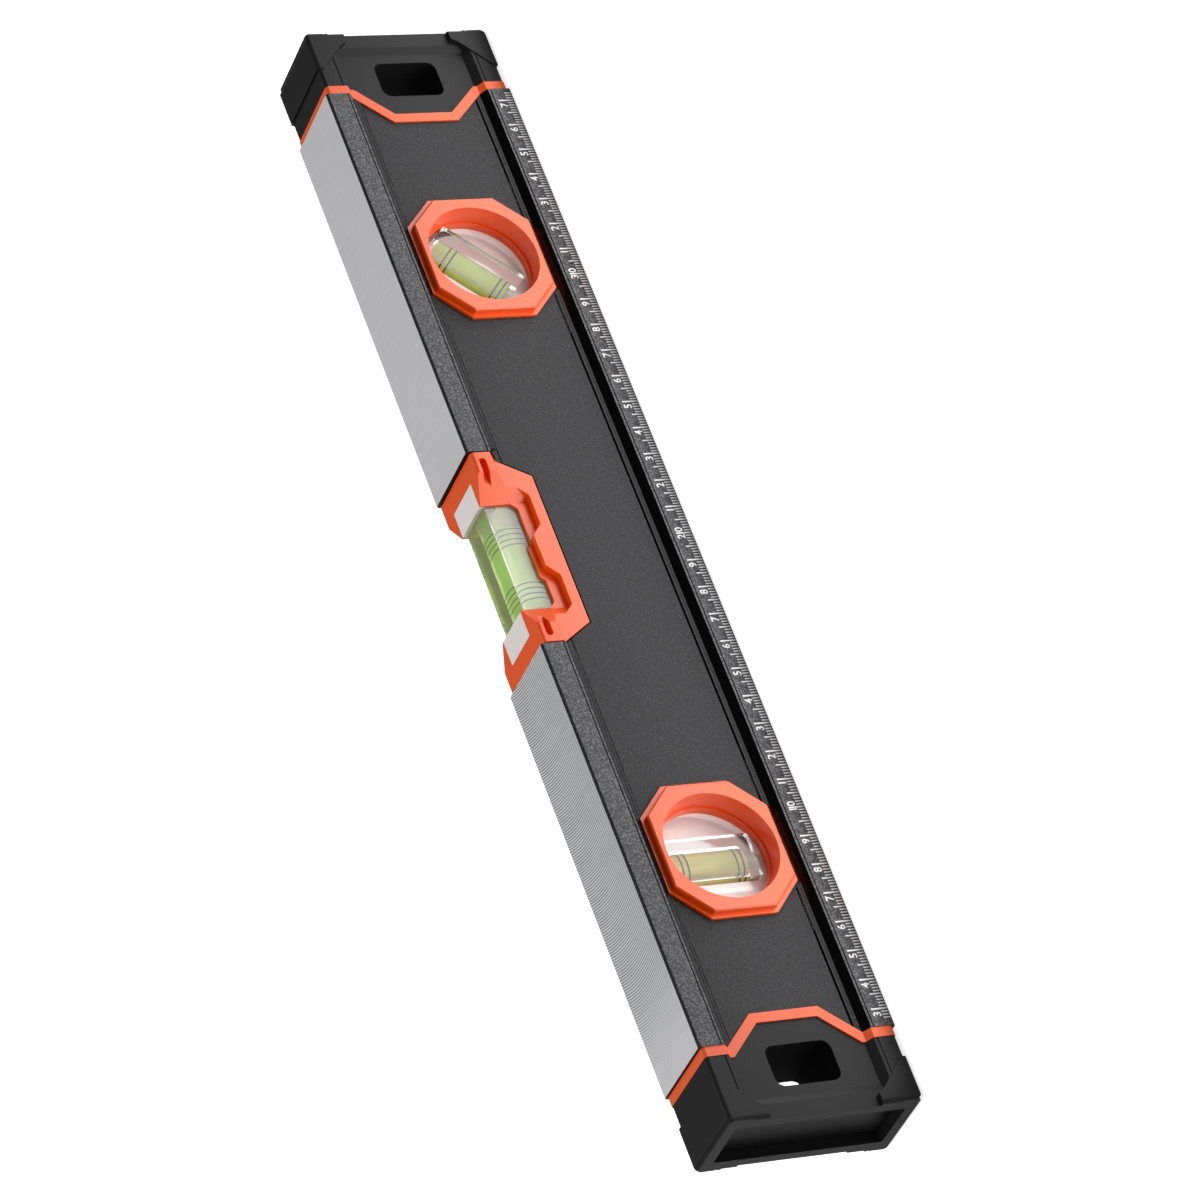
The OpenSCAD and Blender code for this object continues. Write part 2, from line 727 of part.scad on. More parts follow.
// Clear bar along Z with round corners, trimmed where it passes the retaining lip
module vial_bar() {
    t = half_d - bar_depth;
    intersection() {
        along_y(-t, t)
            translate([0, (bar_high - bar_low) / 2])
                round_rect(bar_w, bar_high + bar_low, bar_corner_r);
        translate([0, half_d, 0])
            rotate([90, 0, 0])
                cylinder(h = level_depth, d = lip_d - 2 * bar_lip_clear, $fn = 128);
    }
}

// Clear disc and bar in one, with the tube, its filling hole and grooves for the rings
module round_vial_body(angle) {
    color(clear_acrylic)
        difference() {
            union() {
                translate([0, disc_half_t, 0])
                    rotate([90, 0, 0])
                        cylinder(h = 2 * disc_half_t, d = disc_d, $fn = 128);
                rotate([0, angle, 0]) vial_bar();
            }
            tube_rod(angle, round_tube_d / 2, -round_tube_low, round_tube_high);
            tube_rod(angle, fill_d / 2, -disc_d, over - round_tube_low);
            rotate([0, angle, 0]) ring_bands(round_tube_d / 2, round_ring_places, round_ring_w);
        }
}

// Bubble of diameter d and length l on the +X side of the tube, at a shift along it
module round_bubble(angle, d, l, shift) {
    intersection() {
        tube_rod(angle, round_tube_d / 2, -round_tube_low, round_tube_high);
        rotate([0, angle, 0])
            translate([(round_tube_d - d + ring_t) / 2, 0, shift])
                bubble_shape(d, l);
    }
}

module round_vial_fluid(angle) {
    color(vial_fluid)
        difference() {
            tube_rod(angle, round_tube_d / 2, -round_tube_low, round_tube_high);
            children();
        }
}

module plumb_bubble() {
    color(bubble_air) round_bubble(0, plumb_bubble_d, plumb_bubble_len, -plumb_bubble_drop);
}

module miter_bubble() {
    color(bubble_air) round_bubble(45, miter_bubble_d, miter_bubble_len, miter_bubble_shift);
}

module round_vial_rings(angle) {
    color(ring_black)
        rotate([0, angle, 0]) ring_bands(round_tube_d / 2, round_ring_places, round_ring_w);
}

module round_vial_plug(angle) {
    color(plug_green) tube_rod(angle, fill_d / 2, round_plug_a, -round_tube_low);
}

module top_vial_frame() {
    color(orange_plastic)
        difference() {
            intersection() {
                along_x(-frame_half, frame_half) frame_section();
                along_y(-half_d, half_d) frame_outline(0, frame_top);
            }
            difference() {
                window_cut();
                cradle();
            }
            vial_pocket();
            for (side = [0, 1])
                mirror([side, 0, 0]) {
                    tab_pocket();
                    for (face = [0, 1]) mirror([0, face, 0]) grip_slot();
                }
        }
}

// Section of the frame: rounded top edges, flush flange, slope and lower plate
module frame_section() {
    p = half_d - plate_depth;
    z0 = plate_z - over;
    polygon([[-p, z0], [p, z0], [p, plate_slope_z0], [half_d, plate_slope_z1],
        [half_d, frame_top - frame_edge_r], [-half_d, frame_top - frame_edge_r],
        [-half_d, plate_slope_z1], [-p, plate_slope_z0]]);
    translate([0, (plate_slope_z1 + frame_top) / 2])
        round_rect(level_depth, frame_top - plate_slope_z1, frame_edge_r);
}

// Opening between the two towers, down to the sill with its raised middle
module window_cut() {
    g = tower_gap / 2;
    full = frame_half - frame_full_len;
    tip = tower_tip_w / 2;
    hump = hump_len / 2;
    run = hump_slope_len;
    rise = (half_d - tip) / (full - g);
    wide = g + (half_d + over - tip) / rise;
    w = g + (half_d - plate_depth - tip) / rise;
    intersection() {
        translate([0, 0, sill_z - over])
            linear_extrude(level_h)
                polygon([
                    [g, -tip], [wide, -half_d - over], [-wide, -half_d - over], [-g, -tip],
                    [-g, tip], [-wide, half_d + over], [wide, half_d + over], [g, tip]
                ]);
        along_y(-half_d - over, half_d + over) {
            polygon([
                [-w, plate_slope_z0], [-w, sill_z + window_bevel], [-w + window_bevel, sill_z],
                [-hump - run, sill_z], [-hump, sill_z + hump_h], [hump, sill_z + hump_h],
                [hump + run, sill_z], [w - window_bevel, sill_z], [w, sill_z + window_bevel],
                [w, plate_slope_z0], [frame_half, plate_slope_z0], [frame_half, level_h],
                [-frame_half, level_h], [-frame_half, plate_slope_z0]
            ]);
        }
    }
}

// Cradle walls between the towers, their edge bevelled at the ends and raised in the middle
module cradle() {
    w = block_w / 2 + block_clear + cradle_wall;
    g = tower_gap / 2;
    z = level_h - cradle_drop;
    a = cradle_mid - cradle_len / 2;
    b = cradle_mid + cradle_len / 2;
    along_y(-w, w)
        polygon([
            [-g - over, plate_z], [g + over, plate_z], [g + over, z + cradle_bevel], [g, z + cradle_bevel],
            [g - cradle_bevel, z], [b + cradle_rise, z], [b, z + cradle_rise],
            [a, z + cradle_rise], [a - cradle_rise, z], [-g + cradle_bevel, z],
            [-g, z + cradle_bevel], [-g - over, z + cradle_bevel]
        ]);
}

// Pocket for the clear block, open at the top
module vial_pocket() {
    w = block_w / 2 + block_clear;
    g = tower_gap / 2;
    translate([-g, -w, block_z - block_clear]) cube([2 * g, 2 * w, level_h]);
}

// Pocket in the +X tower for the vial's tab and the clamp plate over it
module tab_pocket() {
    x1 = clamp_x + clamp_len / 2 + clamp_clear;
    w = clamp_w + 2 * clamp_clear;
    translate([tower_gap / 2 - over, -w / 2, tab_z0 - block_clear])
        cube([x1 - tower_gap / 2 + over, w, level_h]);
}

// Slot in the front of the +X tower, with a round outer end, open to the window
module grip_slot() {
    z = level_h - grip_slot_drop;
    x1 = frame_half - grip_slot_wall - grip_slot_h / 2;
    along_y(-half_d - over, -half_d + grip_slot_d) {
        translate([x1, z]) circle(grip_slot_h / 2);
        translate([tower_gap / 2, z - grip_slot_h / 2]) square([x1 - tower_gap / 2, grip_slot_h]);
    }
}

// Puts a shape that lies along Z into the top tube, pointing along +X
module in_top_tube() {
    translate([0, 0, top_tube_z]) rotate([0, 90, 0]) children();
}

// Clear block with bevelled lower corners and tabs that lie under the clamp plates
module top_vial_body() {
    b = block_half;
    t = tower_gap / 2 + tab_len;
    color(clear_acrylic)
        difference() {
            union() {
                along_y(-block_w / 2, block_w / 2)
                    polygon([
                        [block_bevel - b, block_z], [b - block_bevel, block_z], [b, block_z + block_bevel],
                        [b, block_top], [-b, block_top], [-b, block_z + block_bevel]
                    ]);
                translate([-t, -block_w / 2, tab_z0]) cube([2 * t, block_w, block_top - tab_z0]);
            }
            in_top_tube() {
                translate([0, 0, top_fluid_start])
                    cylinder(h = b - top_fluid_start + over, d = top_tube_d);
                ring_bands(top_tube_d / 2, top_ring_places, top_ring_w);
            }
        }
}

module top_bubble() {
    intersection() {
        in_top_tube()
            translate([0, 0, top_fluid_start])
                cylinder(h = top_fluid_end - top_fluid_start, d = top_tube_d);
        in_top_tube()
            translate([-(top_tube_d - top_bubble_d + ring_t) / 2, 0, top_ring_mid])
                bubble_shape(top_bubble_d, top_bubble_len);
    }
}

module top_vial_fluid() {
    color(vial_fluid)
        difference() {
            in_top_tube()
                translate([0, 0, top_fluid_start])
                    cylinder(h = top_fluid_end - top_fluid_start, d = top_tube_d);
            top_bubble();
        }
}

module top_vial_bubble() {
    color(bubble_air) top_bubble();
}

module top_vial_rings() {
    color(ring_black) in_top_tube() ring_bands(top_tube_d / 2, top_ring_places, top_ring_w);
}

module top_vial_plug() {
    color(plug_green)
        in_top_tube()
            translate([0, 0, top_fluid_end])
                cylinder(h = block_half - top_fluid_end, d = top_tube_d);
}

module vial_clamp(side) {
    color(bright_metal)
        translate([side * clamp_x, 0, clamp_z + clamp_t / 2])
            cube([clamp_len, clamp_w, clamp_t], center = true);
}

module base_magnet(i) {
    color(magnet_nickel)
        translate([magnet_xs[i - 1], 0, magnet_inset])
            cylinder(h = magnet_t, d = magnet_d);
}

beam();
mirror([1, 0, 0]) end_cap();  // end_cap_left
end_cap();  // end_cap_right
mirror([1, 0, 0]) cap_gasket();  // cap_gasket_left
cap_gasket();  // cap_gasket_right
at_round_vial(-1) bezel_front();  // plumb_bezel_front
at_round_vial(-1) bezel_back();  // plumb_bezel_back
at_round_vial(-1) round_vial_body(0);  // plumb_vial_body
at_round_vial(-1) round_vial_fluid(0) plumb_bubble();  // plumb_vial_fluid
at_round_vial(-1) plumb_bubble();  // plumb_vial_bubble
at_round_vial(-1) round_vial_rings(0);  // plumb_vial_rings
at_round_vial(-1) round_vial_plug(0);  // plumb_vial_plug
at_round_vial(1) bezel_front();  // miter_bezel_front
at_round_vial(1) bezel_back();  // miter_bezel_back
at_round_vial(1) round_vial_body(45);  // miter_vial_body
at_round_vial(1) round_vial_fluid(45) miter_bubble();  // miter_vial_fluid
at_round_vial(1) miter_bubble();  // miter_vial_bubble
at_round_vial(1) round_vial_rings(45);  // miter_vial_rings
at_round_vial(1) round_vial_plug(45);  // miter_vial_plug
top_vial_frame();
top_vial_body();
top_vial_fluid();
top_vial_bubble();
top_vial_rings();
top_vial_plug();
vial_clamp(-1);  // vial_clamp_left
vial_clamp(1);  // vial_clamp_right
base_magnet(1);  // base_magnet_1
base_magnet(2);  // base_magnet_2
base_magnet(3);  // base_magnet_3
base_magnet(4);  // base_magnet_4
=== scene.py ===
"""Looks of the box-section spirit level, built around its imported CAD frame. Metres, Z up."""
import math

import bmesh
import bpy
from mathutils import Matrix, Vector


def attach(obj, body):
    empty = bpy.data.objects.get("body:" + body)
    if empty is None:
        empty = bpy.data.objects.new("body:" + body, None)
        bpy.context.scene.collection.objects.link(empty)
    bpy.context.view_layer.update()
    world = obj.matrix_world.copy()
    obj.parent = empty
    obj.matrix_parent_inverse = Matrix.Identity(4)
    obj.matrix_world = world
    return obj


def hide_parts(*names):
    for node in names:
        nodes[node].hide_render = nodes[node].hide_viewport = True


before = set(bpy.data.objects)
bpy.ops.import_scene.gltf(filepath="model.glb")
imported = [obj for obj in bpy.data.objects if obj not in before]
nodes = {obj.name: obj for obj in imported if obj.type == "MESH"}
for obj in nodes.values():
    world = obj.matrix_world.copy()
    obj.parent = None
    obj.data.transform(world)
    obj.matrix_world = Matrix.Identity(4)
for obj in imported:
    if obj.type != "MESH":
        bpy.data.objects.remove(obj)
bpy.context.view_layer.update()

scene = bpy.context.scene

# Sizes of the level, in mm as in the CAD
MM = 0.001
HALF_D = 14.1
LEVEL_H = 64.2
ROUND_X = 110.0
TUBE_R = 4.5
PLUG_R = 2.8


class Graph:
    """Material with a Principled shader, and the nodes that drive its sockets"""

    def __init__(self, name):
        self.mat = bpy.data.materials.new(name)
        self.mat.use_nodes = True
        self.tree = self.mat.node_tree
        self.tree.nodes.clear()
        self.out = self.tree.nodes.new("ShaderNodeOutputMaterial")
        self.bsdf = self.tree.nodes.new("ShaderNodeBsdfPrincipled")
        self.tree.links.new(self.bsdf.outputs[0], self.out.inputs["Surface"])
        self._place = None
        self._xyz = None

    def put(self, socket, value):
        if isinstance(value, bpy.types.NodeSocket):
            self.tree.links.new(value, socket)
        else:
            socket.default_value = value

    def node(self, kind, *values, props=None, **named):
        """First output of a new node; values go to its inputs in order, named ones by name"""
        n = self.tree.nodes.new(kind)
        for key, value in (props or {}).items():
            setattr(n, key, value)
        for socket, value in zip(n.inputs, values):
            self.put(socket, value)
        for key, value in named.items():
            self.put(n.inputs[key.replace("_", " ")], value)
        return n.outputs[0]

    def math(self, op, a, b=0.0, c=0.0, clamp=False):
        return self.node("ShaderNodeMath", a, b, c, props={"operation": op, "use_clamp": clamp})

    def times(self, a, b):
        return self.math("MULTIPLY", a, b)

    def either(self, a, b):
        return self.math("MAXIMUM", a, b)

    def vary(self, value, amount, base):
        """base plus amount times value"""
        return self.math("MULTIPLY_ADD", value, amount, base)

    @property
    def place(self):
        """Position on the level in metres"""
        if self._place is None:
            self._place = self.tree.nodes.new("ShaderNodeTexCoord").outputs["Object"]
        return self._place

    @property
    def xyz(self):
        if self._xyz is None:
            n = self.tree.nodes.new("ShaderNodeSeparateXYZ")
            self.tree.links.new(self.place, n.inputs[0])
            self._xyz = n.outputs
        return self._xyz

    def noise(self, per_m, detail=2.0, rough=0.5, vector=None):
        return self.node("ShaderNodeTexNoise", Vector=vector or self.place,
                         Scale=per_m, Detail=detail, Roughness=rough)

    def brushed(self, per_m):
        """Noise with its own number of waves a metre along each axis"""
        stretched = self.node("ShaderNodeMapping", Vector=self.place, Scale=per_m)
        return self.noise(1.0, detail=3.0, rough=0.6, vector=stretched)

    def fade(self, value, start, end, at_start, at_end):
        """at_start up to start, at_end from end on, and a soft change in between"""
        return self.node("ShaderNodeMapRange", value, start, end, at_start, at_end,
                         props={"interpolation_type": "SMOOTHSTEP"})

    def ramp(self, fac, stops):
        n = self.tree.nodes.new("ShaderNodeValToRGB")
        self.tree.links.new(fac, n.inputs[0])
        elements = n.color_ramp.elements
        while len(elements) < len(stops):
            elements.new(0.5)
        for element, (position, colour) in zip(elements, stops):
            element.position = position
            element.color = (*colour, 1)
        return n.outputs[0]

    def mix(self, fac, a, b):
        """Colour between a and b"""
        n = self.tree.nodes.new("ShaderNodeMix")
        n.data_type = "RGBA"
        self.put(n.inputs[0], fac)
        for socket, colour in ((n.inputs[6], a), (n.inputs[7], b)):
            self.put(socket, colour if isinstance(colour, bpy.types.NodeSocket) else (*colour, 1))
        return n.outputs[2]

    def blend(self, fac, a, b):
        """Number between a and b"""
        n = self.tree.nodes.new("ShaderNodeMix")
        n.data_type = "FLOAT"
        self.put(n.inputs[0], fac)
        self.put(n.inputs[2], a)
        self.put(n.inputs[3], b)
        return n.outputs[0]

    def band(self, value, lo, hi):
        """1 where value lies between lo and hi, which are in mm"""
        return self.times(self.math("GREATER_THAN", value, lo * MM), self.math("LESS_THAN", value, hi * MM))

    def bump(self, height, depth_mm, strength):
        return self.node("ShaderNodeBump", Height=height, Distance=depth_mm * MM, Strength=strength)

    def set(self, **values):
        for key, value in values.items():
            self.put(self.bsdf.inputs[key.replace("_", " ")], value)
        return self.mat


def srgb(r, g, b):
    def lin(v):
        v /= 255
        return v / 12.92 if v <= 0.04045 else ((v + 0.055) / 1.055) ** 2.4
    return (lin(r), lin(g), lin(b))


# Materials. Zones of the beam's coat in mm: lows are heights over the base, or below the top. The slopes and
# grooves are painted near black as painted shade
# The flanges get a lighter speckled paint, which is a painted sheen
FLANGE_MARGIN = 0.08
BEHIND_MARGIN = 0.05
SLOPE_LOWS = (8.17, 10.18)
FLANGE_GROOVE_LOWS = (7.02, 7.52)
WEB_GROOVE_LOWS = (11.74, 12.36)
MILLED_MARGIN = 0.02
SEAT_DEPTHS = (3.01, 3.17)
SEAT_XS = (80, 140)

# Arcs left by the cutter, in mm, and where along x in metres they fade out
CUTTER_R = 38
CUTTER_PITCH = 0.86
CUTTER_WOBBLE = 0.10
ARCS_FADE = (-0.045, 0.055)
ARCS_START = (-0.172, -0.138)

# Room inside each cap's hang slot, in mm, which hardly gets light, so it is painted near black as painted
# shade
SLOT_XS = (175.5, 189.5)
SLOT_HALF_D = 10.9
SLOT_ZS = (21, 43.2)

# Margin in mm of the flat clear faces that get a paler colour as painted light
PAINTED_FACE_MARGIN = 0.06


def coat_material():
    g = Graph("powder_coat_and_milled_metal")
    x, y, z = g.xyz
    ay = g.math("ABSOLUTE", y)
    low = g.math("MINIMUM", z, g.math("SUBTRACT", LEVEL_H * MM, z))
    flange = g.math("GREATER_THAN", ay, (HALF_D - FLANGE_MARGIN) * MM)
    behind = g.math("LESS_THAN", ay, (HALF_D - BEHIND_MARGIN) * MM)
    slope = g.times(g.band(low, *SLOPE_LOWS), behind)
    grooves = g.either(g.times(g.band(low, *FLANGE_GROOVE_LOWS), behind), g.band(low, *WEB_GROOVE_LOWS))
    # Mask of the painted shade on the slopes and grooves
    painted_shade = g.either(slope, grooves)
    fine = g.noise(3400, detail=1.0, rough=0.6)
    speck = g.ramp(fine, [(0.40, srgb(26, 26, 28)), (0.62, srgb(48, 48, 50)), (0.74, srgb(96, 96, 98))])
    paint = g.mix(g.times(g.noise(900), 0.35), speck, srgb(38, 38, 40))
    # Lighter speckle on the flanges: the speckle is the coat's grain, the lighter level is a painted sheen
    flange_speck_and_sheen = g.ramp(g.noise(2300, detail=1.0),
                  [(0.34, srgb(54, 54, 56)), (0.52, srgb(78, 78, 80)), (0.68, srgb(118, 118, 120))])
    paint = g.mix(flange, paint, flange_speck_and_sheen)
    # Painted shade: the slopes and grooves go near black
    paint = g.mix(painted_shade, paint, srgb(4, 4, 4))

    # Milled top and base, with the arcs that the cutter leaves
    top = g.math("GREATER_THAN", z, (LEVEL_H - MILLED_MARGIN) * MM)
    base = g.math("LESS_THAN", z, MILLED_MARGIN * MM)
    milled = g.either(top, base)
    sweep = g.math("SQRT", g.math("SUBTRACT", (CUTTER_R * MM) ** 2, g.times(y, y)))
    wobble = g.times(g.noise(60), CUTTER_WOBBLE * MM)
    along = g.math("ADD", g.math("ADD", x, sweep), wobble)
    lines = g.math("SINE", g.times(along, 2 * math.pi / (CUTTER_PITCH * MM)))
    strong = g.times(g.fade(x, *ARCS_FADE, 1.0, 0.12), g.fade(x, *ARCS_START, 0.1, 1.0))
    arcs = g.times(g.fade(lines, -0.9, 0.1, 1.0, 0.0), strong)
    bright = g.math("SUBTRACT", 1.0, arcs, clamp=True)
    grain = g.brushed((900, 60, 60))
    metal = g.mix(g.vary(bright, 0.8, g.times(grain, 0.2)), srgb(104, 104, 107), srgb(232, 232, 234))

    # Bare edge where the bezels' seats are milled through the coat
    seat = g.times(g.band(ay, HALF_D - SEAT_DEPTHS[1], HALF_D - SEAT_DEPTHS[0]),
                   g.band(g.math("ABSOLUTE", x), *SEAT_XS))
    bare = g.either(milled, seat)
    coat_rough = g.blend(flange, g.vary(fine, 0.2, 0.42), 0.34)
    rough = g.blend(bare, g.blend(painted_shade, coat_rough, 0.15), g.vary(bright, 0.12, 0.30))
    height = g.blend(milled, g.times(fine, 0.6), g.vary(bright, 0.35, g.times(grain, 0.1)))
    g.set(Base_Color=g.mix(bare, paint, metal), Metallic=g.times(bare, 0.25), Roughness=rough,
          Normal=g.bump(height, 0.03, 0.6), Specular_IOR_Level=0.2)
    return g.mat


def plastic(name, colour, worn, rough, grain_per_m, depth_mm, specular, vary=0.12, slotted=False):
    """Moulded plastic; slotted ones get painted shade, near black, within the hang slots"""
    g = Graph(name)
    tone = g.mix(g.times(g.noise(70, detail=3.0, rough=0.55), 0.35), colour, worn)
    fine = g.noise(grain_per_m, rough=0.6)
    if slotted:
        x, y, z = g.xyz
        painted_slot_shade = g.times(g.band(g.math("ABSOLUTE", x), *SLOT_XS),
                         g.math("LESS_THAN", g.math("ABSOLUTE", y), SLOT_HALF_D * MM))
        painted_slot_shade = g.times(painted_slot_shade, g.band(z, *SLOT_ZS))
        # Painted shade: near black within the hang slots
        tone = g.mix(painted_slot_shade, tone, (0.002, 0.002, 0.002))
        rough = g.blend(painted_slot_shade, rough, 0.85)
    return g.set(Base_Color=tone, Roughness=g.vary(fine, vary, rough), Normal=g.bump(fine, depth_mm, 0.3),
                 Specular_IOR_Level=specular)


def clear(name, colour, ior, rough=0.01, tint=None, through=1.0, painted_light_face=None):
    """Clear material that lets a share through; the face entry gives the flat faces at its |y| in mm a paler
    colour that is painted light, with their own share through and roughness
    """
    g = Graph(name)
    haze = g.noise(240)
    base = g.mix(g.times(haze, 0.3), colour, tint or colour)
    roughness = g.vary(haze, rough, 0.004)
    # Flat faces at the given |y| get a paler colour: painted light
    if painted_light_face:
        face = g.band(g.math("ABSOLUTE", g.xyz[1]), painted_light_face["y"] - PAINTED_FACE_MARGIN, painted_light_face["y"] + PAINTED_FACE_MARGIN)
        base = g.mix(face, base, painted_light_face["colour"])
        roughness = g.blend(face, roughness, painted_light_face["rough"])
        through = g.blend(face, through, painted_light_face["through"])
    return g.set(Base_Color=base, Roughness=roughness, Transmission_Weight=through, IOR=ior)


def satin_metal(name, colour, rough, metallic):
    g = Graph(name)
    brush = g.brushed((2600, 240, 240))
    return g.set(Base_Color=g.mix(g.noise(500), colour, tuple(c * 0.88 for c in colour)),
                 Roughness=g.vary(brush, 0.15, rough), Normal=g.bump(brush, 0.01, 0.4), Metallic=metallic)


def print_ink(name, colour):
    g = Graph(name)
    worn = g.noise(2600, rough=0.6)
    return g.set(Base_Color=g.mix(g.times(worn, 0.3), colour, tuple(c * 0.7 for c in colour)),
                 Roughness=g.vary(worn, 0.2, 0.45))


coat = coat_material()
black = plastic("black_moulded", srgb(29, 29, 30), srgb(37, 37, 38), rough=0.42, grain_per_m=2400,
                depth_mm=0.02, specular=0.16, slotted=True)
orange = plastic("orange_moulded", srgb(241, 84, 8), srgb(244, 88, 16), rough=0.27, grain_per_m=2600,
                 depth_mm=0.001, specular=0.62, vary=0.03)
rubber = plastic("orange_gasket", srgb(238, 90, 26), srgb(232, 84, 24), rough=0.42, grain_per_m=2800,
                 depth_mm=0.005, specular=0.6)
# The round vials' disc faces are painted pale pink white, as painted light seen through the discs, and are
# rougher
acrylic = clear("clear_acrylic", srgb(252, 250, 249), 1.49, through=0.94,
                painted_light_face={"y": 4.6, "through": 0.4, "colour": srgb(255, 250, 249), "rough": 0.2})
# The block's green tint is painted green light of the fluid carried through it, and its front faces are
# painted whiter as a painted reflection
block_clear = clear("top_block_acrylic", srgb(226, 252, 174), 1.49, tint=srgb(220, 250, 162), through=0.78,
                    painted_light_face={"y": 7.4, "through": 0.78, "colour": srgb(255, 250, 247), "rough": 0.03})
fluid = clear("vial_fluid", srgb(244, 255, 132), 1.40, tint=srgb(238, 252, 124), through=0.26)
miter_fluid = clear("miter_vial_fluid", srgb(206, 255, 92), 1.40, tint=srgb(200, 253, 84), through=0.2)
top_fluid = clear("top_vial_fluid", srgb(214, 255, 150), 1.40, tint=srgb(206, 252, 138), through=0.3)
plug = clear("vial_plug", srgb(232, 236, 208), 1.46, rough=0.2, tint=srgb(222, 228, 190), through=0.6)
air = clear("bubble_air", srgb(250, 250, 248), 1.0)
ring_ink = print_ink("ring_print", srgb(10, 12, 10))
ruler_ink = print_ink("ruler_print", srgb(250, 250, 250))
clamp = satin_metal("clamp_plate", srgb(246, 238, 234), rough=0.40, metallic=0.0)
nickel = satin_metal("magnet_nickel", srgb(176, 176, 180), rough=0.25, metallic=0.9)


def dress(name, mat):
    o = nodes[name]
    if not o.data.materials:
        o.data.materials.append(mat)
    for slot in o.material_slots:
        slot.material = mat


for n in nodes:
    if n == "beam":
        dress(n, coat)
    elif n.startswith("end_cap"):
        dress(n, black)
    elif n.startswith("cap_gasket"):
        dress(n, rubber)
    elif "bezel" in n or n == "top_vial_frame":
        dress(n, orange)
    elif n.endswith("_body"):
        dress(n, block_clear if n.startswith("top") else acrylic)
    elif n.endswith("_fluid"):
        dress(n, top_fluid if n.startswith("top") else fluid)
    elif n.endswith("_bubble"):
        dress(n, air)
    elif n.endswith("_rings"):
        dress(n, ring_ink)
    elif n.endswith("_plug"):
        dress(n, plug)
    elif n.startswith("vial_clamp"):
        dress(n, clamp)
    else:
        dress(n, nickel)


def add_mesh(name, bm, mat):
    me = bpy.data.meshes.new(name)
    bm.to_mesh(me)
    bm.free()
    me.materials.append(mat)
    o = bpy.data.objects.new(name, me)
    scene.collection.objects.link(o)
    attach(o, "root")
    return o


# Pieces inside the vials. They overlap the walls round them a little, so that no two clear faces
# lie in one place. All sizes in mm
LAP = 0.03
RING_LAP = 0.01
RING_DEPTH = 0.17
ROD_EDGE = 0.02
BUBBLE_GAP = 0.06
BUBBLE_STEPS = 12


def lathe(bm, at, axis, profile, inward=False, segments=64):
    """Closed surface of the (distance along axis, radius) profile, turned round axis"""
    axis = Vector(axis).normalized()
    side = Vector((0, 1, 0))
    up = axis.cross(side)
    turns = [2 * math.pi * k / segments for k in range(segments)]
    rings = []
    for d, r in profile:
        middle = Vector(at) + axis * d
        if r == 0:
            rings.append([bm.verts.new(middle * MM)])
        else:
            rings.append([bm.verts.new((middle + side * (r * math.cos(a)) + up * (r * math.sin(a))) * MM)
                          for a in turns])
    for a, b in zip(rings, rings[1:]):
        for k in range(segments):
            j = (k + 1) % segments
            if len(a) == 1:
                f = (a[0], b[j], b[k])
            elif len(b) == 1:
                f = (a[k], a[j], b[0])
            else:
                f = (a[k], a[j], b[j], b[k])
            face = bm.faces.new(f if inward else tuple(reversed(f)))
            face.smooth = True


def rod_profile(a, b, r):
    return [(a, 0), (a, r - ROD_EDGE), (a + ROD_EDGE, r), (b - ROD_EDGE, r), (b, r - ROD_EDGE), (b, 0)]


def bubble_profile(d, length):
    """Round-ended capsule about its middle"""
    r = d / 2
    angles = [math.pi / 2 * k / BUBBLE_STEPS for k in range(BUBBLE_STEPS + 1)]
    start = [(-length / 2 + r - r * math.cos(a), r * math.sin(a)) for a in angles]
    return start + [(-a, b) for a, b in reversed(start)]


def build_vial(name, at, axis, out, tube, bubble, mat):
    """Fluid between the tube's two ends along axis. Its bubble (diameter, length, place along axis) is an
    inner surface that lies against the wall on the out side"""
    bubble_d, bubble_len, bubble_at = bubble
    bm = bmesh.new()
    lathe(bm, at, axis, rod_profile(tube[0] - LAP, tube[1] + LAP, TUBE_R + LAP))
    off = TUBE_R - bubble_d / 2 - BUBBLE_GAP
    middle = Vector(at) + Vector(axis).normalized() * bubble_at + Vector(out).normalized() * off
    lathe(bm, middle, axis, bubble_profile(bubble_d, bubble_len), inward=True)
    o = add_mesh(name + "_liquid", bm, mat)
    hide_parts(name + "_fluid", name + "_bubble")


def build_rings(name, at, axis, places, width):
    bm = bmesh.new()
    inner, outer = TUBE_R, TUBE_R + RING_DEPTH
    for p in places:
        a, b = p - width / 2 - RING_LAP, p + width / 2 + RING_LAP
        lathe(bm, at, axis, [(a, inner), (a, outer), (b, outer), (b, inner), (a, inner)])
    bmesh.ops.remove_doubles(bm, verts=bm.verts, dist=1e-7)
    for f in bm.faces:
        f.smooth = False
    o = add_mesh(name + "_lines", bm, ring_ink)
    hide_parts(name + "_rings")


def build_plug(name, at, axis, a, b):
    bm = bmesh.new()
    lathe(bm, at, axis, rod_profile(a, b - LAP, PLUG_R + LAP))
    o = add_mesh(name + "_stopper", bm, plug)
    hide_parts(name + "_plug")


PLUMB = ("plumb_vial", (-ROUND_X, 0, LEVEL_H / 2), (0, 0, 1))
MITER = ("miter_vial", (ROUND_X, 0, LEVEL_H / 2), (1, 0, 1))
TOP = ("top_vial", (0, 0, 54.1), (1, 0, 0))
TOP_MIDDLE = -0.7
ROUND_TUBE = (-11.4, 14.6)
TOP_TUBE = (-16.8, 13.0)
PLUG_END = -17.7
ROUND_RINGS = (-10, -8.1, 8.1, 10)
TOP_RINGS = [TOP_MIDDLE + side * (7.1 + 1.9 * i) for side in (-1, 1) for i in range(4)]

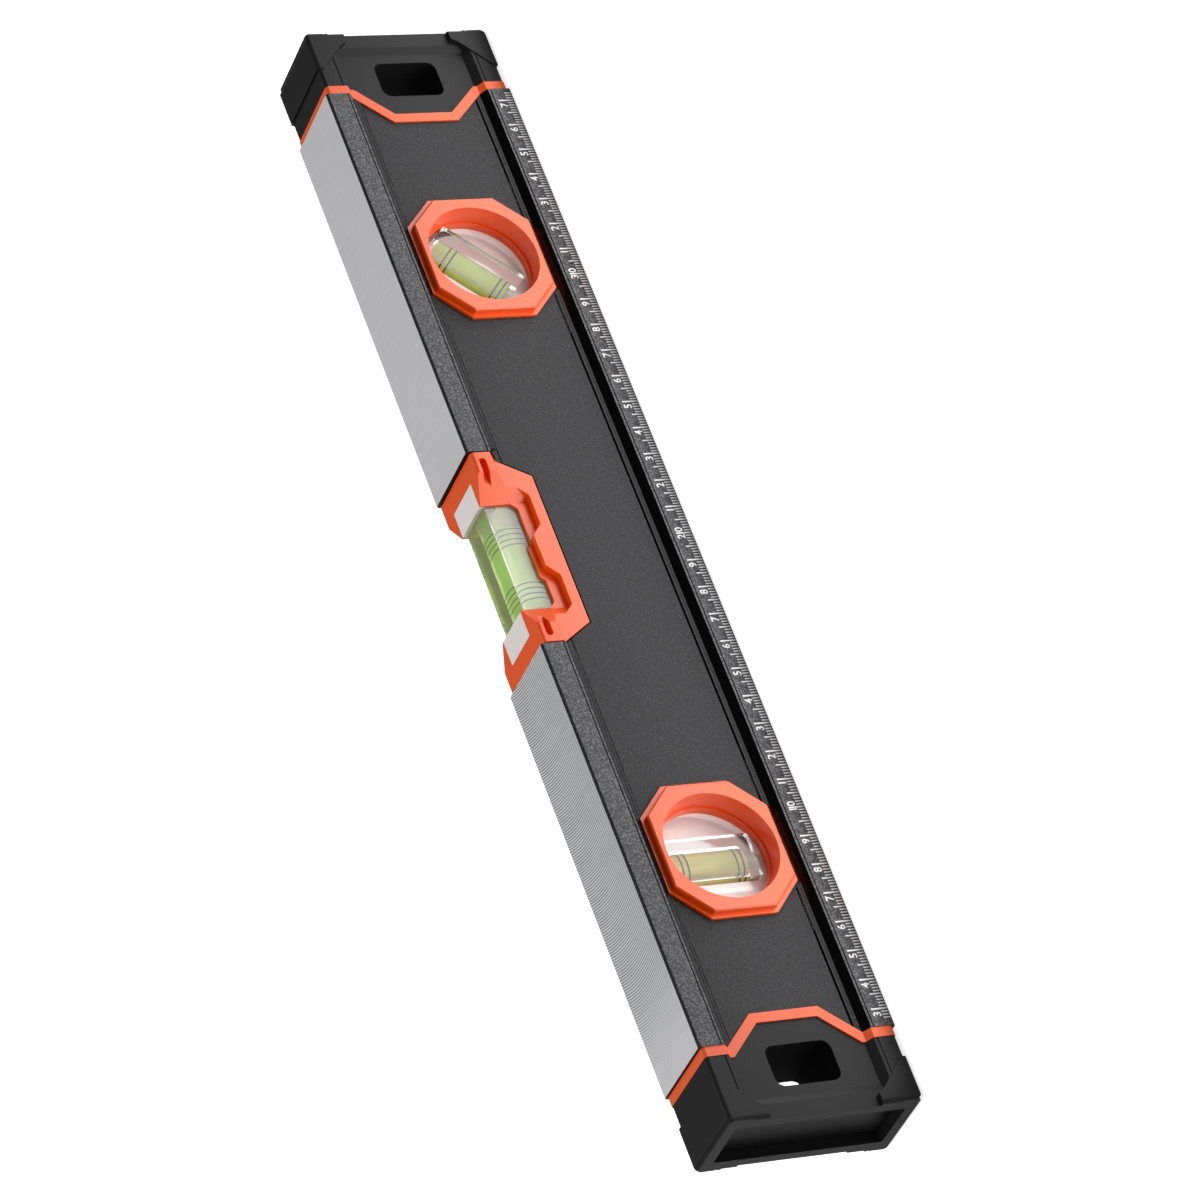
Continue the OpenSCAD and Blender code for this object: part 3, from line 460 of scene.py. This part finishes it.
build_vial(*PLUMB, out=(1, 0, 0), tube=ROUND_TUBE, bubble=(3.6, 14.0, -3.2), mat=fluid)
build_vial(*MITER, out=(1, 0, -1), tube=ROUND_TUBE, bubble=(5.0, 7.6, 10.4), mat=miter_fluid)
build_vial(*TOP, out=(0, 0, 1), tube=TOP_TUBE, bubble=(4.4, 12.0, TOP_MIDDLE), mat=top_fluid)
build_rings(*PLUMB, ROUND_RINGS, width=0.5)
build_rings(*MITER, ROUND_RINGS, width=0.5)
build_rings(*TOP, TOP_RINGS, width=0.35)
build_plug(*PLUMB, PLUG_END, ROUND_TUBE[0])
build_plug(*MITER, PLUG_END, ROUND_TUBE[0])

# Ruler print along the front flange, in mm. TICKS: height and half width of the marks at every so many mm
RULER_ZERO = -199.6
RULER_MM = range(27, 374)
RULER_CM = range(3, 38)
RULER_FOOT = 0.8
TICKS = {10: (5.2, 0.26), 5: (3.7, 0.23), 1: (2.2, 0.21)}
DIGIT_H = 2.65
DIGIT_FOOT = 3.35
ONE_DIGIT_GAP = 1.05
TWO_DIGIT_GAP = 0.45
INK = 0.02
DIGIT_WEIGHT = 0.018


def digit_outline(digit):
    """Points and faces of a flat digit, one unit high, that starts at x = 0, and its width"""
    curve = bpy.data.curves.new("digits", "FONT")
    curve.body = digit
    curve.resolution_u = 3
    curve.offset = DIGIT_WEIGHT
    o = bpy.data.objects.new("digits", curve)
    scene.collection.objects.link(o)
    bpy.context.view_layer.update()
    me = bpy.data.meshes.new_from_object(o.evaluated_get(bpy.context.evaluated_depsgraph_get()))
    points = [(v.co.x, v.co.y) for v in me.vertices]
    faces = [tuple(p.vertices) for p in me.polygons]
    bpy.data.objects.remove(o)
    bpy.data.curves.remove(curve)
    bpy.data.meshes.remove(me)
    xs, ys = zip(*points)
    h = max(ys) - min(ys)
    return [((x - min(xs)) / h, (y - min(ys)) / h) for x, y in points], faces, (max(xs) - min(xs)) / h


def build_ruler():
    bm = bmesh.new()
    y = -(HALF_D + INK) * MM
    for k in RULER_MM:
        height, half = next(size for step, size in TICKS.items() if k % step == 0)
        left, right = RULER_ZERO + k - half, RULER_ZERO + k + half
        bm.faces.new([bm.verts.new((x * MM, y, z * MM)) for x, z in (
            (left, RULER_FOOT), (right, RULER_FOOT),
            (right, RULER_FOOT + height), (left, RULER_FOOT + height))])
    shapes = {d: digit_outline(d) for d in "0123456789"}

    def digit(d, x, ends_there=True):
        points, faces, width = shapes[d]
        x0 = x - width * DIGIT_H if ends_there else x
        made = [bm.verts.new(((x0 + a * DIGIT_H) * MM, y, (DIGIT_FOOT + b * DIGIT_H) * MM)) for a, b in points]
        for f in faces:
            bm.faces.new([made[i] for i in f])

    for cm in RULER_CM:
        x = RULER_ZERO + cm * 10
        if cm % 10:
            digit(str(cm % 10), x - ONE_DIGIT_GAP)
        else:
            digit(str(cm // 10), x - TWO_DIGIT_GAP)
            digit("0", x + TWO_DIGIT_GAP, ends_there=False)
    add_mesh("ruler_print", bm, ruler_ink)


build_ruler()

# Stage, light and camera, in metres
FLOOR_HALF = 6.0
FLOOR_SEEN = 0.80
FLOOR_MIRRORED = 0.35
WORLD_SEEN = 1.0
WORLD_LIGHT = 0.07
WHITE = (1, 1, 1, 1)


def stage_material():
    """Pale floor that shows white to the camera and through clear parts, and keeps the shadow"""
    g = Graph("pale_floor")
    tone = g.noise(3)
    g.set(Base_Color=g.mix(g.times(tone, 0.3), (0.86, 0.86, 0.86), (0.84, 0.84, 0.84)),
          Roughness=g.vary(tone, 0.1, 0.75))
    path = g.tree.nodes.new("ShaderNodeLightPath").outputs
    seen = g.either(path["Is Camera Ray"], path["Is Transmission Ray"])
    strength = g.either(g.times(seen, FLOOR_SEEN), g.times(path["Is Glossy Ray"], FLOOR_MIRRORED))
    glow = g.node("ShaderNodeEmission", Color=WHITE, Strength=strength)
    both = g.node("ShaderNodeAddShader", g.bsdf.outputs[0], glow)
    g.tree.links.new(both, g.out.inputs["Surface"])
    return g.mat


bm = bmesh.new()
bmesh.ops.create_grid(bm, x_segments=4, y_segments=4, size=FLOOR_HALF)
me = bpy.data.meshes.new("floor")
bm.to_mesh(me)
bm.free()
me.materials.append(stage_material())
floor = bpy.data.objects.new("floor", me)
scene.collection.objects.link(floor)

world = bpy.data.worlds.new("studio")
scene.world = world
world.use_nodes = True
tree = world.node_tree
tree.nodes.clear()
world_out = tree.nodes.new("ShaderNodeOutputWorld")
world_mix = tree.nodes.new("ShaderNodeMixShader")
for socket, strength in ((1, WORLD_LIGHT), (2, WORLD_SEEN)):
    background = tree.nodes.new("ShaderNodeBackground")
    background.inputs["Color"].default_value = WHITE
    background.inputs["Strength"].default_value = strength
    tree.links.new(background.outputs[0], world_mix.inputs[socket])
path = tree.nodes.new("ShaderNodeLightPath").outputs
seen = tree.nodes.new("ShaderNodeMath")
seen.operation = "MAXIMUM"
tree.links.new(path["Is Camera Ray"], seen.inputs[0])
tree.links.new(path["Is Transmission Ray"], seen.inputs[1])
tree.links.new(seen.outputs[0], world_mix.inputs[0])
tree.links.new(world_mix.outputs[0], world_out.inputs[0])


def softbox(name, place, towards, size, radiance):
    """Area lamp at place that shines along towards, as bright as a surface of that radiance"""
    data = bpy.data.lights.new(name, "AREA")
    data.shape = "RECTANGLE"
    data.size, data.size_y = size
    data.energy = radiance * math.pi * size[0] * size[1]
    o = bpy.data.objects.new(name, data)
    o.location = place
    o.rotation_euler = Vector(towards).to_track_quat("-Z", "Y").to_euler()
    o.visible_camera = False
    o.visible_transmission = False
    scene.collection.objects.link(o)


softbox("strip_in_front", (0.04, -0.0675, 0.0012), (0, 0, 1), size=(0.46, 0.095), radiance=2.7)
softbox("strip_behind", (0.0, 0.10, 0.0012), (0, 0, 1), size=(0.34, 0.12), radiance=0.9)
softbox("box_overhead", (-0.3, 0.3, 1.6), (0.05, -0.05, -1.6), size=(2.0, 2.0), radiance=2.1)
softbox("box_behind", (1.1, 1.6, 1.05), (-1.1, -1.6, -1.0), size=(1.5, 1.1), radiance=0.15)
softbox("box_in_front", (0.3, -1.8, 0.35), (-0.3, 1.8, -0.32), size=(1.4, 0.7), radiance=0.5)

# Camera fitted to the photo: the picture's right, down and ahead, and where the eye is
RIGHT = Vector((-0.32098816, -0.338369, -0.88457505))
DOWN = Vector((-0.80498118, 0.58955163, 0.06658952))
AHEAD = Vector((0.49897084, 0.73344072, -0.46161978))
CAM_AT = Vector((-0.89534, -1.29834, 0.84803))
SENSOR_MM = 36.0
LENS_MM = 177.93

cam_data = bpy.data.cameras.new("photo_camera")
cam_data.sensor_fit = "HORIZONTAL"
cam_data.sensor_width = SENSOR_MM
cam_data.lens = LENS_MM
cam_data.clip_start = 0.05
cam_data.clip_end = 60.0
camera = bpy.data.objects.new("photo_camera", cam_data)
turn = Matrix((RIGHT, -DOWN, -AHEAD)).transposed()
camera.matrix_world = Matrix.Translation(CAM_AT) @ turn.to_4x4()
scene.collection.objects.link(camera)
scene.camera = camera
scene.view_settings.view_transform = "Standard"
